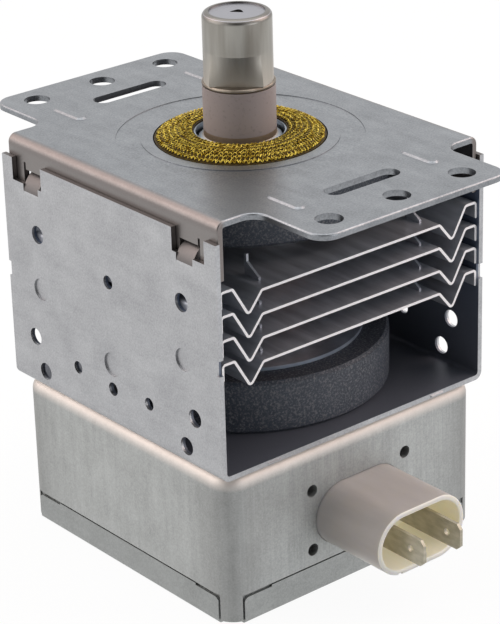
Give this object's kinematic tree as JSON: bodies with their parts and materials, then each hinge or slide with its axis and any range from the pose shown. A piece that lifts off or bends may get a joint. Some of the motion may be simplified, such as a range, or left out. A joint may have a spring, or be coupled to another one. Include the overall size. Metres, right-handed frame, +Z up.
{
  "type": "magnetron",
  "caption": "Air-cooled magnetron: a finned tube between ring magnets in a folded steel yoke, with an antenna on its mounting plate and a filter box below.",
  "frame": {"origin": "on the antenna axis, in the plane of the mounting plate's top face", "axes": "+Z up along the antenna, -Y towards the terminal connector, air blows along Y"},
  "size_m": [0.0774, 0.1229, 0.1256],
  "materials": {
    "galvanised_plate": "satin",
    "galvanised_yoke": "satin",
    "ferrite": "matt",
    "seat_steel": "satin",
    "copper": "satin",
    "pole_iron": "satin",
    "strap_copper": "satin",
    "seal_metal": "satin",
    "filament_metal": "matt",
    "alumina": "matt",
    "stem_alumina": "matt",
    "cap_steel": "satin",
    "brass_mesh": "knitted",
    "holder_steel": "bright",
    "fin_aluminium": "bright",
    "box_steel": "drawn",
    "shroud_plastic": "moulded",
    "tinned_blade": "tin plated",
    "capacitor_resin": "cast",
    "choke_copper": "enamelled",
    "choke_ferrite": "matt"
  },
  "bodies": {
    "root": {"mounting_plate": "galvanised_plate", "yoke_frame": "galvanised_yoke", "upper_magnet": "ferrite", "lower_magnet": "ferrite", "seat_disc": "seat_steel", "anode_cylinder": "copper", "anode_vanes": "copper", "upper_inner_strap": "strap_copper", "upper_outer_strap": "strap_copper", "lower_inner_strap": "strap_copper", "lower_outer_strap": "strap_copper", "upper_pole_piece": "pole_iron", "lower_pole_piece": "pole_iron", "output_seal_cone": "seal_metal", "input_seal_cone": "seal_metal", "filament_coil": "filament_metal", "upper_end_hat": "filament_metal", "lower_end_hat": "filament_metal", "centre_lead": "filament_metal", "side_lead": "filament_metal", "input_ceramic": "stem_alumina", "centre_strip": "seal_metal", "side_strip": "seal_metal", "output_ceramic": "alumina", "exhaust_tube": "cap_steel", "antenna_lead": "copper", "antenna_cap": "cap_steel", "gasket_holder": "holder_steel", "knitted_gasket": "brass_mesh", "cooling_fin_1": "fin_aluminium", "cooling_fin_2": "fin_aluminium", "cooling_fin_3": "fin_aluminium", "cooling_fin_4": "fin_aluminium", "filter_box": "box_steel", "box_lid": "box_steel", "connector_shroud": "shroud_plastic", "left_blade": "tinned_blade", "right_blade": "tinned_blade", "capacitor_body": "capacitor_resin", "capacitor_mount": "seat_steel", "left_choke": "choke_copper", "right_choke": "choke_copper", "left_choke_core": "choke_ferrite", "right_choke_core": "choke_ferrite"}
  },
  "joints": []
}
